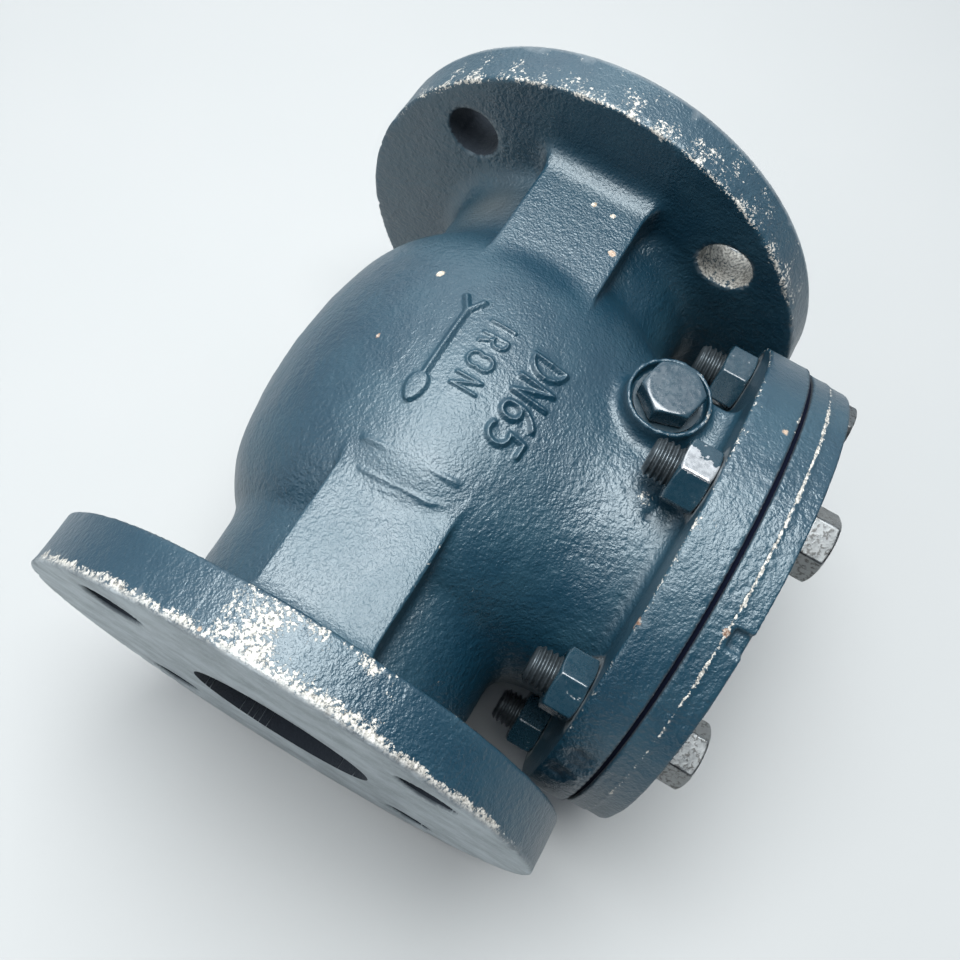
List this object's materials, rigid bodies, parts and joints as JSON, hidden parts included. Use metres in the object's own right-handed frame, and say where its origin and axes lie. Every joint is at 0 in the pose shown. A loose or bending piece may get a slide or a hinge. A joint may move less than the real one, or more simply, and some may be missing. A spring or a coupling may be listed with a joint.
{
  "type": "flanged swing check valve",
  "caption": "Cast-iron swing check valve with flanged pipe ends, a bolted side cover, plugged hinge-pin bosses and a bronze-faced disc that swings open with the flow.",
  "frame": {"origin": "centre of the inlet flange's outer face, on the pipe axis", "axes": "+X along the pipe axis the way the liquid flows, from the inlet flange to the outlet flange; +Y from the pipe axis towards the bolted cover; +Z out of the side with the cast marks, up when the valve lies on the other side"},
  "size_m": [0.216, 0.2007, 0.1778],
  "materials": {
    "painted_iron": "semi-gloss slate blue-grey paint over sand-cast iron, worn at the edges",
    "painted_steel": "the same paint over steel hexagons, edges worn to metal",
    "plated_steel": "dull zinc plate, oily on the threads",
    "stainless": "turned stainless steel",
    "bronze": "machined bronze",
    "bare_iron": "unpainted cast iron",
    "disc_facing": "smooth black rubber facing",
    "gasket": "matt black sheet gasket"
  },
  "bodies": {
    "valve_body": {"body": "painted_iron", "cover": "painted_iron", "cover_gasket": "gasket", "cover_bolt_1": "plated_steel", "cover_bolt_2": "plated_steel", "cover_bolt_3": "plated_steel", "cover_bolt_4": "plated_steel", "cover_bolt_5": "plated_steel", "cover_bolt_6": "plated_steel", "cover_nut_1": "painted_steel", "cover_nut_2": "painted_steel", "cover_nut_3": "painted_steel", "cover_nut_4": "painted_steel", "cover_nut_5": "painted_steel", "cover_nut_6": "painted_steel", "hinge_pin": "stainless", "pin_plug_marked_side": "painted_steel", "pin_plug_plain_side": "painted_steel", "plug_washer_marked_side": "bronze", "plug_washer_plain_side": "bronze", "seat_ring": "bronze"},
    "swing_arm": {"disc_arm": "bare_iron"},
    "disc_group": {"disc": "bronze", "disc_insert": "disc_facing", "disc_washer": "stainless", "disc_nut": "stainless", "cotter_pin": "stainless"}
  },
  "joints": [
    {"name": "disc_swing", "type": "hinge", "parent": "valve_body", "child": "swing_arm", "pos_m": [0.0832, 0.054, 0], "axis": [0, 0, 1], "range_deg": [0, 65]},
    {"name": "disc_spin", "type": "hinge", "parent": "swing_arm", "child": "disc_group", "pos_m": [0.09, 0, 0], "axis": [1, 0, 0], "continuous": true}
  ]
}
